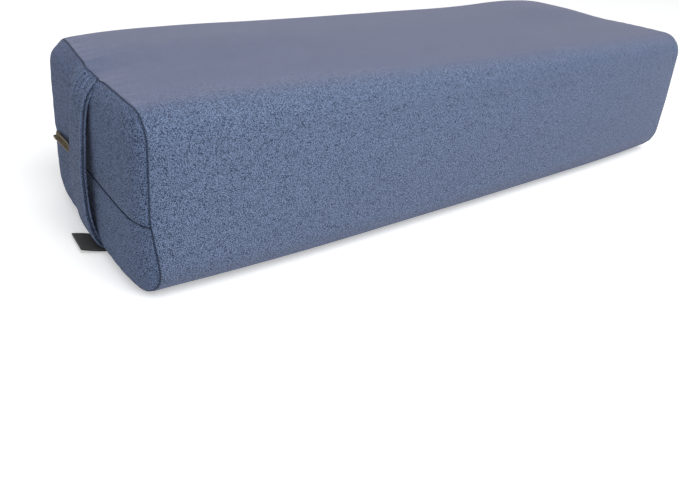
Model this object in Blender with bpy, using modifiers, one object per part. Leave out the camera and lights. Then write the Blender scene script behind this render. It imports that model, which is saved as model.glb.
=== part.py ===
# Rectangular yoga bolster, built as its separate sewn, stuffed and moving pieces.
# Metres, +Z up. X runs along the bolster, the end with the zip and the tag faces -X,
# the long side seen from the front faces -Y, and the origin is the middle of the flat base.
import math

import bmesh
import bpy
import numpy as np
from mathutils import Matrix, Vector

# Outside of the cover
seam_length = 0.640
end_width = 0.210
side_bulge = 0.0042
side_draw = 0.004
side_crown = 0.0015
end_height = 0.1445
top_draw = 0.0035
crown = 0.0025
top_edge_radius = 0.022
base_edge_radius = 0.032
corner_pull = 0.014
corner_pull_height = 0.060
panel_bulge = 0.0065

# Powers that shape the draw of the ends and the swell of the end panels
draw_power = 8
pull_power = 12
swell_power_across = 14
swell_power_up = 6
swell_edge_power = 0.9
crown_fade_power = 4

# Layers, from the outside in
cover_thickness = 0.0012
cloth_gap = 0.0003
liner_thickness = 0.0008
batting_thickness = 0.010
core_slack = 0.0007
foam_layers = 3
liner_set_back = 0.006
liner_bulge = 0.0045
pad_bulge = 0.0040
panel_rim_level = 0.0009

# Sewing thread
thread_diameter = 0.0008
closing_slit = 0.0004
liner_thread_diameter = 0.0006
liner_thread_inset = 0.0020

# Zip across the near end panel
zip_height = 0.0655
zip_slot = 0.0014
zip_slack = 0.0005
tape_thickness = 0.0006
tape_width = 0.0123
tape_end_share = 0.93
coil_width = 0.0016
coil_thickness = 0.0016
coil_drop = 0.0006
zip_end_margin = 0.022
stop_length = 0.0020

# Slider, which starts beside the rear end of the zip
slider_length = 0.011
slider_end_clearance = 0.0015
slider_height = 0.0072
slider_wall = 0.0012
slider_web = 0.0006
slider_clearance = 0.0004
flange_width = 0.0010
flange_reach = 0.0015
bridge_span = 0.0080
bridge_width = 0.0020
bridge_wall = 0.0009
bridge_window = 0.0022

# Pull on the slider
pull_length = 0.044
pull_width = 0.0085
pull_thickness = 0.0010
pull_window_width = 0.0056
pull_window_length = 0.0050
pull_arm = 0.0012
pull_pin = 0.0010
pull_lift = 0.0011
pull_tilt = math.radians(8)
pull_turn = math.radians(2.5)

# Carrying straps on both ends
strap_width = 0.028
strap_side_shift = 0.0045
strap_face_thickness = 0.0020
strap_lining_thickness = 0.0013
strap_gap = 0.0059
strap_face_crown = 0.0004
strap_base_clearance = 0.0062
strap_end_share = 0.45
strap_end_power = 12

# Folded tag in the base seam of the near end
tag_width = 0.028
tag_length = 0.0160
tag_ply = 0.0005
tag_fold_gap = 0.0006
tag_height = 0.0030
tag_droop = 0.0010
tag_root_clearance = 0.0009
tag_root_tail = 0.0004
tag_skew = 0.008

# How finely the surfaces are divided
foam_share_limit = 0.98
station_shares = np.array([0.2, 0.5, 0.74, 0.88, 0.96, 1.0])
inner_station_shares = np.array([0.5, 0.88, 0.95, 1.0])
column_shares = np.array([0.0, 0.5, 0.78, 0.9, 0.97, 1.0])
base_arc_segments = 6
top_arc_segments = 5
side_segments = 3
top_segments = 8
base_segments = 4
strap_segments = 18
strap_columns = 4
fold_segments = 6
tag_segments = 6
tip_segments = 6

# Colours, as red, green and blue with roughness and metallic value
suede = ((0.105, 0.140, 0.215), 0.92, 0.0)
suede_end = ((0.080, 0.105, 0.165), 0.93, 0.0)
suede_strap = ((0.100, 0.125, 0.190), 0.92, 0.0)
seam_thread = ((0.020, 0.028, 0.050), 0.80, 0.0)
tape_cloth = ((0.050, 0.068, 0.110), 0.85, 0.0)
coil_nylon = ((0.060, 0.080, 0.125), 0.45, 0.0)
brass = ((0.420, 0.330, 0.200), 0.32, 1.0)
tag_cloth = ((0.012, 0.012, 0.012), 0.75, 0.0)
cotton = ((0.720, 0.690, 0.620), 0.90, 0.0)
wadding = ((0.850, 0.850, 0.830), 0.95, 0.0)
foam = ((0.800, 0.760, 0.560), 0.90, 0.0)

seam_half = seam_length / 2
thread_radius = thread_diameter / 2
inner_inset = cover_thickness + cloth_gap
batting_inset = inner_inset + liner_thickness + cloth_gap
core_inset = batting_inset + batting_thickness + core_slack
liner_half_length = seam_half - liner_set_back
batting_half_length = liner_half_length - cloth_gap
foam_half_length = batting_half_length - batting_thickness - cloth_gap
coil_half_length = end_width / 2 - zip_end_margin
slider_start = coil_half_length - slider_end_clearance - slider_length / 2

for old in list(bpy.data.objects):
    bpy.data.objects.remove(old)

parts = bpy.data.collections.new("rectangular_yoga_bolster")
bpy.context.scene.collection.children.link(parts)
tools = bpy.data.collections.new("tools")
bpy.context.scene.collection.children.link(tools)


# Objects and materials

def finish(name, look):
    colour, roughness, metallic = look
    material = bpy.data.materials.new(name)
    material.use_nodes = True
    shader = material.node_tree.nodes["Principled BSDF"]
    shader.inputs["Base Color"].default_value = (*colour, 1.0)
    shader.inputs["Roughness"].default_value = roughness
    shader.inputs["Metallic"].default_value = metallic
    return material


def add_part(name, mesh, look, pivot=(0.0, 0.0, 0.0)):
    mesh.transform(Matrix.Translation(-Vector(pivot)))
    part = bpy.data.objects.new(name, mesh)
    part.location = pivot
    part.data.materials.append(finish(name, look))
    parts.objects.link(part)
    return part


def place(first, second, third, origin):
    # the directions that a flat outline's three axes take, and where its own origin goes
    turn = Matrix((first, second, third)).transposed().to_4x4()
    return Matrix.Translation(Vector(origin)) @ turn


def add_wall(part, thickness):
    wall = part.modifiers.new("wall", "SOLIDIFY")
    wall.thickness = thickness
    wall.offset = -1.0
    wall.use_even_offset = True


# Grids of points and the meshes made from them

def grid_faces(rows, columns, first=0, turned=False):
    corner = first + np.arange(rows * columns).reshape(rows, columns)
    faces = np.stack([corner[:-1, :-1], corner[:-1, 1:], corner[1:, 1:], corner[1:, :-1]], axis=-1)
    faces = faces.reshape(-1, 4)
    return faces[:, ::-1] if turned else faces


def new_mesh(name, points, faces):
    mesh = bpy.data.meshes.new(name)
    mesh.from_pydata([tuple(p) for p in points], [], [tuple(int(i) for i in f) for f in faces])
    mesh.update()
    return mesh


def sheet_mesh(name, grid, turned=False):
    rows, columns = grid.shape[:2]
    return new_mesh(name, grid.reshape(-1, 3), grid_faces(rows, columns, turned=turned))


def weld(mesh):
    shape = bmesh.new()
    shape.from_mesh(mesh)
    bmesh.ops.remove_doubles(shape, verts=shape.verts, dist=cloth_gap / 10)
    bmesh.ops.recalc_face_normals(shape, faces=shape.faces)
    shape.to_mesh(mesh)
    shape.free()
    return mesh


def block_mesh(name, front, back):
    # a closed body between two grids of the same size, walled round their borders
    rows, columns = front.shape[:2]
    count = rows * columns
    faces = [grid_faces(rows, columns), grid_faces(rows, columns, first=count, turned=True)]
    for edge in (0, rows - 1):
        strip = np.arange(columns) + edge * columns
        faces.append(np.stack([strip[:-1], strip[1:], strip[1:] + count, strip[:-1] + count], axis=-1))
    for edge in (0, columns - 1):
        strip = np.arange(rows) * columns + edge
        faces.append(np.stack([strip[:-1], strip[1:], strip[1:] + count, strip[:-1] + count], axis=-1))
    points = np.concatenate([front.reshape(-1, 3), back.reshape(-1, 3)])
    return weld(new_mesh(name, points, np.concatenate(faces)))


def box_mesh(name, low, high):
    shape = bmesh.new()
    bmesh.ops.create_cube(shape, size=1.0)
    low, high = np.array(low), np.array(high)
    for vert in shape.verts:
        vert.co = (np.array(vert.co) + 0.5) * (high - low) + low
    mesh = bpy.data.meshes.new(name)
    shape.to_mesh(mesh)
    shape.free()
    return mesh


def loft_mesh(name, rings):
    # a closed body through rings of points, with a flat cap on each end
    count, size = rings.shape[:2]
    closed = np.concatenate([rings, rings[:, :1]], axis=1)
    faces = [tuple(f) for f in grid_faces(count, size + 1)]
    caps = [tuple(range(size)), tuple(range((count - 1) * (size + 1), (count - 1) * (size + 1) + size))]
    return weld(new_mesh(name, closed.reshape(-1, 3), faces + caps))


def both_signs(shares):
    positive = shares[shares > 0]
    middle = shares[shares == 0]
    return np.concatenate([-positive[::-1], middle, positive])


# The cushion's form: outline of a cross section, and how it changes along the length

def half_width(station):
    return end_width / 2 + side_bulge * (1 - station ** 2) + side_draw * (1 - abs(station) ** draw_power)


def top_height(station):
    return end_height + top_draw * (1 - abs(station) ** draw_power)


def crown_lift(y, flat_half):
    return crown * np.clip(1 - (y / flat_half) ** 2, 0, 1)


def pull_in(y, z, station):
    low = np.clip(1 - z / corner_pull_height, 0, 1) ** 2
    return corner_pull * low * (np.abs(y) / half_width(station)) ** 4 * abs(station) ** pull_power


def arc(y, z, radius, start, end, segments):
    angles = np.radians(np.linspace(start, end, segments + 1))
    return np.stack([y + radius * np.cos(angles), z + radius * np.sin(angles)], axis=-1)


def side_run(y, low, high, swell, segments):
    along = np.linspace(0, 1, segments + 1)[1:-1]
    return np.stack([y + swell * 4 * along * (1 - along), low + (high - low) * along], axis=-1)


def outline(station, inset, slit=0.0):
    # anticlockwise seen from +X, from the closing seam in the rear base edge round to it again
    half = half_width(station) - inset
    top = top_height(station) - inset
    top_radius = top_edge_radius - inset
    base_radius = base_edge_radius - inset
    low, high = inset + base_radius, top - top_radius
    swell = side_crown * (1 - station ** 2)
    opening = math.degrees(slit / 2 / base_edge_radius)
    half_arc = base_arc_segments // 2
    flat = half - top_radius
    across = np.linspace(1, -1, top_segments + 1)[1:-1] * flat
    under = np.linspace(-1, 1, base_segments + 1)[1:-1] * (half - base_radius)
    rear, front = half - base_radius, base_radius - half
    return np.concatenate([
        arc(rear, low, base_radius, -45 + opening, 0, half_arc),
        side_run(half, low, high, swell, side_segments),
        arc(flat, high, top_radius, 0, 90, top_arc_segments),
        np.stack([across, top + crown_lift(across, flat)], axis=-1),
        arc(-flat, high, top_radius, 90, 180, top_arc_segments),
        side_run(-half, high, low, -swell, side_segments),
        arc(front, low, base_radius, 180, 270, base_arc_segments),
        np.stack([under, np.full_like(under, inset)], axis=-1),
        arc(rear, low, base_radius, 270, 315 - opening, half_arc),
    ])


def tube_grid(inset, half_length, shares, slit=0.0):
    stations = both_signs(np.append(shares[:-1] * seam_half, half_length) / seam_half)
    rings = []
    for station in stations:
        ring = outline(station, inset, slit)
        reach = seam_half - pull_in(ring[:, 0], ring[:, 1], station)
        rings.append(np.column_stack([station * reach, ring]))
    return np.array(rings)


def add_tube(name, inset, half_length, shares, thickness, look, slit=0.0):
    grid = tube_grid(inset, half_length, shares, slit)
    mesh = sheet_mesh(name, grid)
    if slit == 0:
        shape = bmesh.new()
        shape.from_mesh(mesh)
        bmesh.ops.remove_doubles(shape, verts=shape.verts, dist=cloth_gap / 10)
        shape.to_mesh(mesh)
        shape.free()
    part = add_part(name, mesh, look)
    add_wall(part, thickness)
    return part


# The end surfaces: rows at set heights, columns as shares of the row's half width

def base_rows(inset):
    radius = base_edge_radius - inset
    return inset + radius * (1 - np.cos(np.radians(np.linspace(0, 90, base_arc_segments + 1))))


def top_rows(inset):
    radius = top_edge_radius - inset
    high = end_height - inset - radius
    return high + radius * np.sin(np.radians(np.linspace(0, 90, top_arc_segments + 1)))


def side_rows(low, high, segments):
    return np.linspace(low, high, segments + 1)[1:-1]


def row_half_width(z, inset):
    half = end_width / 2 - inset
    base_radius, top_radius = base_edge_radius - inset, top_edge_radius - inset
    below = np.clip(inset + base_radius - z, 0, base_radius)
    above = np.clip(z - (end_height - inset - top_radius), 0, top_radius)
    low_cut = base_radius - np.sqrt(base_radius ** 2 - below ** 2)
    high_cut = top_radius - np.sqrt(top_radius ** 2 - above ** 2)
    return half - low_cut - high_cut


def swell_at(share, z, inset):
    middle = end_height / 2
    up = np.clip(np.abs(z - middle) / (middle - inset), 0, 1)
    across = (1 - np.abs(share) ** swell_power_across) ** swell_edge_power
    return across * (1 - up ** swell_power_up) ** swell_edge_power


def end_grid(side, inset, level, bulge, rows, columns):
    z = rows[:, None] * np.ones_like(columns)[None, :]
    y = row_half_width(z, inset) * columns[None, :]
    lift = crown_lift(y, end_width / 2 - top_edge_radius) * (z / end_height) ** crown_fade_power
    station = 1 + level / seam_half
    out = seam_half + level + bulge * swell_at(columns[None, :], z, inset) - pull_in(y, z, station)
    return np.stack([side * out, y, z + lift], axis=-1)


def near_rows(inset, above):
    slot_half = zip_slot / 2
    if above:
        edge = zip_height + slot_half
        arc_rows = top_rows(inset)
        return np.concatenate([[edge], side_rows(edge, arc_rows[0], side_segments), arc_rows])
    edge = zip_height - slot_half
    arc_rows = base_rows(inset)
    return np.concatenate([arc_rows, side_rows(arc_rows[-1], edge, side_segments), [edge]])


def whole_rows(inset):
    low, high = base_rows(inset), top_rows(inset)
    return np.concatenate([low, side_rows(low[-1], high[0], side_segments + 1), high])


def add_end_sheet(name, side, inset, level, bulge, rows, columns, thickness, look):
    grid = end_grid(side, inset, level, bulge, rows, columns)
    part = add_part(name, sheet_mesh(name, grid, turned=side < 0), look)
    add_wall(part, thickness)
    return part


# Cover

def add_cover():
    columns = both_signs(column_shares)
    add_tube("cover_sleeve", 0.0, seam_half, station_shares, cover_thickness, suede, closing_slit)
    for name, above in (("near_panel_upper", True), ("near_panel_lower", False)):
        add_end_sheet(name, -1, inner_inset, panel_rim_level, panel_bulge,
                      near_rows(inner_inset, above), columns, cover_thickness, suede_end)
    add_end_sheet("far_panel", 1, inner_inset, panel_rim_level, panel_bulge,
                  whole_rows(inner_inset), columns, cover_thickness, suede_end)


def thread_mesh(name, points, diameter, closed):
    wire = bpy.data.curves.new(name, "CURVE")
    wire.dimensions = "3D"
    wire.bevel_depth = diameter / 2
    wire.bevel_resolution = 1
    wire.use_fill_caps = True
    spline = wire.splines.new("POLY")
    spline.points.add(len(points) - 1)
    spline.points.foreach_set("co", np.column_stack([points, np.ones(len(points))]).ravel())
    spline.use_cyclic_u = closed
    guide = bpy.data.objects.new(name, wire)
    tools.objects.link(guide)
    evaluated = guide.evaluated_get(bpy.context.evaluated_depsgraph_get())
    mesh = bpy.data.meshes.new_from_object(evaluated)
    bpy.data.objects.remove(guide)
    bpy.data.curves.remove(wire)
    return weld(mesh)


def end_loop(side, inset, level):
    ring = outline(1.0, inset)[:-1]
    reach = seam_half + level - pull_in(ring[:, 0], ring[:, 1], 1 + level / seam_half)
    return np.column_stack([side * reach, ring])


def add_cover_threads():
    inset = thread_radius + (cover_thickness - thread_diameter) / 2
    level = cloth_gap + thread_radius
    for name, side in (("near_seam_thread", -1), ("far_seam_thread", 1)):
        add_part(name, thread_mesh(name, end_loop(side, inset, level), thread_diameter, True), seam_thread)
    grid = tube_grid(-(cloth_gap + thread_radius), seam_half, station_shares)
    run = grid[:, 0, :]
    run[[0, -1], 0] -= np.sign(run[[0, -1], 0]) * thread_diameter
    name = "sleeve_seam_thread"
    add_part(name, thread_mesh(name, run, thread_diameter, False), seam_thread)


# Inner liner, batting and foam core

def add_liner():
    columns = both_signs(column_shares)
    add_tube("liner_sleeve", inner_inset, liner_half_length, inner_station_shares, liner_thickness, cotton)
    inset = batting_inset
    level = -liner_set_back + liner_thickness
    for name, side in (("near", -1), ("far", 1)):
        add_end_sheet(f"liner_{name}_end", side, inset, level, liner_bulge, whole_rows(inset), columns,
                      liner_thickness, cotton)
        rise = liner_bulge + cloth_gap + liner_thread_diameter / 2
        points = end_loop(side, inset + liner_thread_inset, level + rise)
        thread = f"liner_{name}_thread"
        add_part(thread, thread_mesh(thread, points, liner_thread_diameter, True), cotton)


def add_batting():
    columns = both_signs(column_shares)
    add_tube("batting_wrap", batting_inset, batting_half_length, inner_station_shares,
             batting_thickness, wadding)
    level = -liner_set_back - cloth_gap
    for name, side in (("batting_near_pad", -1), ("batting_far_pad", 1)):
        rows = whole_rows(core_inset)
        front = end_grid(side, core_inset, level, pad_bulge, rows, columns)
        back = front.copy()
        back[:, :, 0] = side * (foam_half_length + cloth_gap)
        add_part(name, block_mesh(name, front, back), wadding)


def foam_ring(station, low, high, lowest, highest):
    half = half_width(station) - core_inset
    top = top_height(station) - core_inset
    base_radius, top_radius = base_edge_radius - core_inset, top_edge_radius - core_inset
    flat = half - top_radius
    across = np.linspace(1, -1, top_segments + 1)[1:-1] * flat
    over = np.stack([across, top + crown_lift(across, flat)], axis=-1)
    under, upper = half - base_radius, top - top_radius
    rear = arc(under, low + base_radius, base_radius, 270, 360, base_arc_segments)
    front = arc(-under, low + base_radius, base_radius, 180, 270, base_arc_segments)
    below = [front, rear] if lowest else [[(-half, low)], [(half, low)]]
    if highest:
        above = [arc(flat, upper, top_radius, 0, 90, top_arc_segments), over,
                 arc(-flat, upper, top_radius, 90, 180, top_arc_segments)]
    else:
        above = [[(half, high)], [(-half, high)]]
    return np.concatenate(below + above)


def add_foam():
    stack = end_height - 2 * core_inset
    end = foam_half_length / seam_half
    stations = both_signs(np.append(inner_station_shares[inner_station_shares < foam_share_limit * end], end))
    for layer in range(foam_layers):
        lowest, highest = layer == 0, layer == foam_layers - 1
        low = core_inset + stack * layer / foam_layers
        high = core_inset + stack * (layer + 1) / foam_layers - cloth_gap
        rings = []
        for station in stations:
            ring = foam_ring(station, low, high, lowest, highest)
            rings.append(np.column_stack([np.full(len(ring), station * seam_half), ring]))
        name = f"foam_slab_{layer + 1}"
        add_part(name, loft_mesh(name, np.array(rings)), foam)


# Zip

def add_tapes():
    columns = both_signs(column_shares) * tape_end_share
    level = panel_rim_level - cover_thickness - zip_slack
    slot_half = zip_slot / 2
    for name, sign in (("zip_tape_upper", 1), ("zip_tape_lower", -1)):
        edges = np.sort(zip_height + sign * np.array([slot_half, slot_half + tape_width]))
        add_end_sheet(name, -1, inner_inset, level, panel_bulge, edges, columns, tape_thickness, tape_cloth)


def zip_box(name, along, above, level, look):
    # a block given by its ranges along Y, above the zip's middle line, and outward from the end seam
    low = (-seam_half - level[1], along[0], zip_height + above[0])
    high = (-seam_half - level[0], along[1], zip_height + above[1])
    return add_part(name, box_mesh(name, low, high), look)


coil_front = (panel_rim_level + panel_bulge - cover_thickness - zip_slack - tape_thickness - coil_drop)
coil_back = coil_front - coil_thickness


def add_coils():
    near, far = zip_slot / 2, zip_slot / 2 + coil_width
    run = (-coil_half_length, coil_half_length)
    stop = coil_half_length + cloth_gap
    for name, above in (("upper", (near, far)), ("lower", (-far, -near))):
        zip_box(f"zip_coil_{name}", run, above, (coil_back, coil_front), coil_nylon)
        zip_box(f"zip_top_stop_{name}", (stop, stop + stop_length), above, (coil_back, coil_front), brass)
    zip_box("zip_bottom_stop", (-stop - stop_length, -stop), (-far, far), (coil_back, coil_front), brass)


def plate_mesh(name, outer, hole, thickness):
    # an outline in the XY plane, with a hole where one is given, as a plate about that plane
    flat = bpy.data.curves.new(name, "CURVE")
    flat.dimensions = "2D"
    flat.fill_mode = "BOTH"
    flat.extrude = thickness / 2
    for points in (outer, hole):
        if points is None:
            continue
        spline = flat.splines.new("POLY")
        spline.points.add(len(points) - 1)
        for point, (x, y) in zip(spline.points, points):
            point.co = (x, y, 0.0, 1.0)
        spline.use_cyclic_u = True
    guide = bpy.data.objects.new(name, flat)
    tools.objects.link(guide)
    evaluated = guide.evaluated_get(bpy.context.evaluated_depsgraph_get())
    mesh = bpy.data.meshes.new_from_object(evaluated)
    bpy.data.objects.remove(guide)
    bpy.data.curves.remove(flat)
    return weld(mesh)


slider_front = panel_rim_level + panel_bulge + slider_clearance
slider_back = coil_back - slider_clearance
bridge_level = slider_front + slider_wall
pin_level = bridge_level + bridge_window / 2


def slider_outline():
    # section across the zip: level outward from the end seam, height above the zip's line
    half, web = slider_height / 2, slider_web / 2
    flange = half - flange_width
    back = slider_back - slider_wall
    upper = [(back, half), (slider_back + flange_reach, half), (slider_back + flange_reach, flange),
             (slider_back, flange), (slider_back, web), (slider_front, web), (slider_front, half),
             (bridge_level, half)]
    lower = [(level, -height) for level, height in reversed(upper)]
    return upper + lower


def add_slider():
    name = "zip_slider"
    body = plate_mesh(name, slider_outline(), None, slider_length)
    # the section's first axis becomes -X, its second Z, and its thickness runs along Y
    pivot = (-seam_half, slider_start, zip_height)
    body.transform(place((-1, 0, 0), (0, 0, 1), (0, 1, 0), pivot))
    slider = add_part(name, weld(body), brass, pivot)
    span, window = bridge_span / 2, bridge_span / 2 - bridge_wall
    root, under = bridge_level - slider_clearance, bridge_level + bridge_window
    arch = [(-span, root), (-window, root), (-window, under), (window, under), (window, root),
            (span, root), (span, under + bridge_wall), (-span, under + bridge_wall)]
    bridge = plate_mesh("bridge", arch, None, bridge_width)
    # the arch stands on the slider's front: its first axis runs along Y, its second along -X
    bridge.transform(place((0, 1, 0), (-1, 0, 0), (0, 0, 1), pivot))
    cutter = bpy.data.objects.new("bridge", weld(bridge))
    cutter.hide_render = True
    cutter.display_type = "WIRE"
    tools.objects.link(cutter)
    union = slider.modifiers.new("bridge", "BOOLEAN")
    union.operation = "UNION"
    union.object = cutter


def add_pull():
    name = "zip_pull"
    arm = pull_window_width / 2 + pull_arm
    half, tip = pull_width / 2, pull_width / 2
    pin = pull_pin / 2
    end = arc(pull_length - tip, 0.0, tip, -90, 90, tip_segments)
    start = [(-pin, arm), (-pin, -arm), (pull_window_length, -half)]
    outer = np.concatenate([start, end, [(pull_window_length, half)]]) + [0.0, pull_lift]
    window = pull_window_width / 2
    far = pull_window_length - pull_pin / 2
    hole = np.array([(pin, -window), (far, -window), (far, window), (pin, window)]) + [0.0, pull_lift]
    plate = plate_mesh(name, outer, hole, pull_thickness)
    pivot = (-seam_half - pin_level, slider_start, zip_height)
    # the plate points along -Y with its width up, set off from its pin by the lift
    # its free end is raised by the tilt and stands away from the panel by the turn
    run, rise = math.cos(pull_tilt), math.sin(pull_tilt)
    along, out = math.cos(pull_turn), math.sin(pull_turn)
    length_axis, width_axis = (-out * run, -along * run, rise), (out * rise, along * rise, run)
    plate.transform(place(length_axis, width_axis, (along, -out, 0), pivot))
    add_part(name, weld(plate), brass, pivot)


# Carrying straps

def strap_grid(side, cloth, gap, crown_height):
    # a surface of the strap: so much cloth and gap above its seat, thinner where the seams press it
    rim = inner_inset
    low, high = strap_base_clearance, end_height - rim
    middle = (low + high) / 2
    run = np.sin(np.radians(np.linspace(-90, 90, strap_segments + 1)))
    z = middle + (high - middle) * run
    across = np.linspace(-1, 1, strap_columns + 1)
    y = np.outer(np.ones_like(z), across * strap_width / 2 - strap_side_shift)
    panel = panel_rim_level + panel_bulge * swell_at(np.zeros_like(z), z, rim)
    bow = strap_gap * (1 - run ** 2)
    fullness = strap_end_share + (1 - strap_end_share) * (1 - np.abs(run) ** strap_end_power)
    out = (seam_half + panel + cloth_gap + bow + gap + cloth * fullness)[:, None]
    out = out + crown_height * (1 - across[None, :] ** 2)
    lifted = z + crown * (z / end_height) ** crown_fade_power
    return np.stack([side * out, y, lifted[:, None] * np.ones_like(y)], axis=-1)


def add_straps():
    both = strap_lining_thickness + strap_face_thickness
    for name, side in (("near", -1), ("far", 1)):
        seat = strap_grid(side, 0.0, 0.0, 0.0)
        lining = strap_grid(side, strap_lining_thickness, 0.0, 0.0)
        add_part(f"{name}_handle_lining", block_mesh("lining", lining, seat), suede_strap)
        back = strap_grid(side, strap_lining_thickness, cloth_gap, 0.0)
        front = strap_grid(side, both, cloth_gap, strap_face_crown)
        add_part(f"{name}_handle_face", block_mesh("face", front, back), suede_strap)


# Tag

def add_tag():
    name = "side_tag"
    ply_step = (tag_ply + tag_fold_gap) / 2
    along = np.linspace(-tag_root_tail, tag_length - ply_step, tag_segments + 1)
    droop = tag_droop * (np.clip(along, 0, None) / tag_length) ** 2
    upper = np.stack([along, ply_step - droop], axis=-1)
    lower = np.stack([along, -ply_step - droop], axis=-1)[::-1]
    fold = arc(along[-1], -droop[-1], ply_step, 90, -90, fold_segments)[1:-1]
    path = np.concatenate([upper, fold, lower])
    level = panel_rim_level + panel_bulge * float(swell_at(0.0, tag_height, inner_inset))
    # sewn in under the strap's lower end, with its free end skewed to the rear
    pivot = (-seam_half - level - tag_root_clearance, -strap_side_shift, tag_height)
    middle = pivot[1] + tag_skew * path[:, 0] / tag_length
    rows = [np.column_stack([pivot[0] - path[:, 0], middle + side * tag_width / 2,
                             pivot[2] + path[:, 1]]) for side in (-1, 1)]
    tag = add_part(name, sheet_mesh(name, np.array(rows)), tag_cloth, pivot)
    add_wall(tag, tag_ply)
    tag.modifiers["wall"].offset = 0.0


# Main
add_cover()
add_cover_threads()
add_liner()
add_batting()
add_foam()
add_tapes()
add_coils()
add_slider()
add_pull()
add_straps()
add_tag()
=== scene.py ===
import math

import bmesh
import bpy
import numpy as np
from mathutils import Matrix, Vector


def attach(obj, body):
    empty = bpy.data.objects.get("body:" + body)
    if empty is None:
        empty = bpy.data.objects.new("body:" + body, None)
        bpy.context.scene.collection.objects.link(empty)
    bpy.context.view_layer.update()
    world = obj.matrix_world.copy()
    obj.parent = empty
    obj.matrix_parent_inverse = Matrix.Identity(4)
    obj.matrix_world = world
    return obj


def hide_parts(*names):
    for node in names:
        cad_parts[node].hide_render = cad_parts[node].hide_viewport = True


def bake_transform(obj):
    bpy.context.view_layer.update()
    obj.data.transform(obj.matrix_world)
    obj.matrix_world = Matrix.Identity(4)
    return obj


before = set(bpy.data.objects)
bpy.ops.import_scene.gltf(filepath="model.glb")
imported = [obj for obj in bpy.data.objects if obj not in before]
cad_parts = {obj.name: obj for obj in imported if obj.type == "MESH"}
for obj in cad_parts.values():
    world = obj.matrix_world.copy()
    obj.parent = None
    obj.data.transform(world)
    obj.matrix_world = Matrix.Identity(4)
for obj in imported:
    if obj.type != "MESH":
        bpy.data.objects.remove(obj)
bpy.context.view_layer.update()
scene = bpy.context.scene
print("frame loaded,", len(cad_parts), "nodes")


# Camera, room and lights

camera = {
    "place": (-0.4604, -0.4942, 0.3010),
    "right": (0.7961, -0.5993, 0.0843),
    "up": (0.1635, 0.3471, 0.9235),
    "sensor": 36.0,
    "lens": 36.037,
    "shift": (-0.03258, -0.16536),
    "nearest": 0.02,
}
room = {
    "worldColour": (0.95, 0.97, 1.0, 1),
    "worldLight": 0.44,
    "floorColour": (0.86, 0.86, 0.85, 1),
    "floorGlow": 0.42,
    "floorHalf": 3.0,
    "floorHeight": -0.0004,
    "keyPower": 43.0,
    "keyPlace": (-0.15, -1.45, 2.05),
    "keySize": 1.5,
    "keyAim": (0, 0, 0.08),
}


def makeCamera():
    right, up = Vector(camera["right"]).normalized(), Vector(camera["up"])
    back = right.cross(up).normalized()
    up = back.cross(right)
    turn = Matrix((right, up, back)).transposed().to_4x4()
    lens = bpy.data.cameras.new("photoCamera")
    lens.sensor_width = camera["sensor"]
    lens.lens = camera["lens"]
    lens.shift_x, lens.shift_y = camera["shift"]
    lens.clip_start = camera["nearest"]
    eye = bpy.data.objects.new("photoCamera", lens)
    scene.collection.objects.link(eye)
    eye.matrix_world = Matrix.Translation(camera["place"]) @ turn
    scene.camera = eye


def shareRays(tree, kind, lit, seen, rays):
    # the first shader lights the scene, and the second is what the listed kinds of ray meet
    path = tree.nodes.new("ShaderNodeLightPath")
    mix = tree.nodes.new("ShaderNodeMixShader")
    share = path.outputs[rays[0]]
    for ray in rays[1:]:
        either = tree.nodes.new("ShaderNodeMath")
        either.operation = "MAXIMUM"
        tree.links.new(share, either.inputs[0])
        tree.links.new(path.outputs[ray], either.inputs[1])
        share = either.outputs[0]
    for source, socket in zip((share, lit.outputs[0], seen.outputs[0]), mix.inputs):
        tree.links.new(source, socket)
    tree.links.new(mix.outputs[0], tree.nodes.new(kind).inputs["Surface"])


def makeRoom():
    world = bpy.data.worlds.new("studio")
    scene.world = world
    world.use_nodes = True
    tree = world.node_tree
    tree.nodes.clear()
    light = tree.nodes.new("ShaderNodeBackground")
    light.inputs["Color"].default_value = room["worldColour"]
    light.inputs["Strength"].default_value = room["worldLight"]
    white = tree.nodes.new("ShaderNodeBackground")
    white.inputs["Color"].default_value = (1, 1, 1, 1)
    shareRays(tree, "ShaderNodeOutputWorld", light, white,
              ("Is Camera Ray", "Is Glossy Ray", "Is Transmission Ray"))

    half = room["floorHalf"]
    corners = [(-half, -half, 0), (half, -half, 0), (half, half, 0), (-half, half, 0)]
    mesh = bpy.data.meshes.new("studioFloor")
    mesh.from_pydata(corners, [], [(0, 1, 2, 3)])
    floor = bpy.data.objects.new("studioFloor", mesh)
    floor.location.z = room["floorHeight"]
    scene.collection.objects.link(floor)
    paint = bpy.data.materials.new("paleFloor")
    paint.use_nodes = True
    tree = paint.node_tree
    tree.nodes.clear()
    matt = tree.nodes.new("ShaderNodeBsdfDiffuse")
    matt.inputs["Color"].default_value = room["floorColour"]
    glow = tree.nodes.new("ShaderNodeEmission")
    glow.inputs["Strength"].default_value = room["floorGlow"]
    both = tree.nodes.new("ShaderNodeAddShader")
    tree.links.new(matt.outputs[0], both.inputs[0])
    tree.links.new(glow.outputs[0], both.inputs[1])
    shareRays(tree, "ShaderNodeOutputMaterial", matt, both, ("Is Camera Ray", "Is Glossy Ray"))
    mesh.materials.append(paint)

    lamp = bpy.data.lights.new("softKey", "AREA")
    lamp.shape = "DISK"
    lamp.size = room["keySize"]
    lamp.energy = room["keyPower"]
    key = bpy.data.objects.new("softKey", lamp)
    scene.collection.objects.link(key)
    key.location = room["keyPlace"]
    aim = Vector(room["keyAim"]) - key.location
    key.rotation_euler = aim.to_track_quat("-Z", "Y").to_euler()
    scene.view_settings.view_transform = "Standard"


makeCamera()
makeRoom()
print("camera, floor and lights made")


# Node building for the finishes

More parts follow.
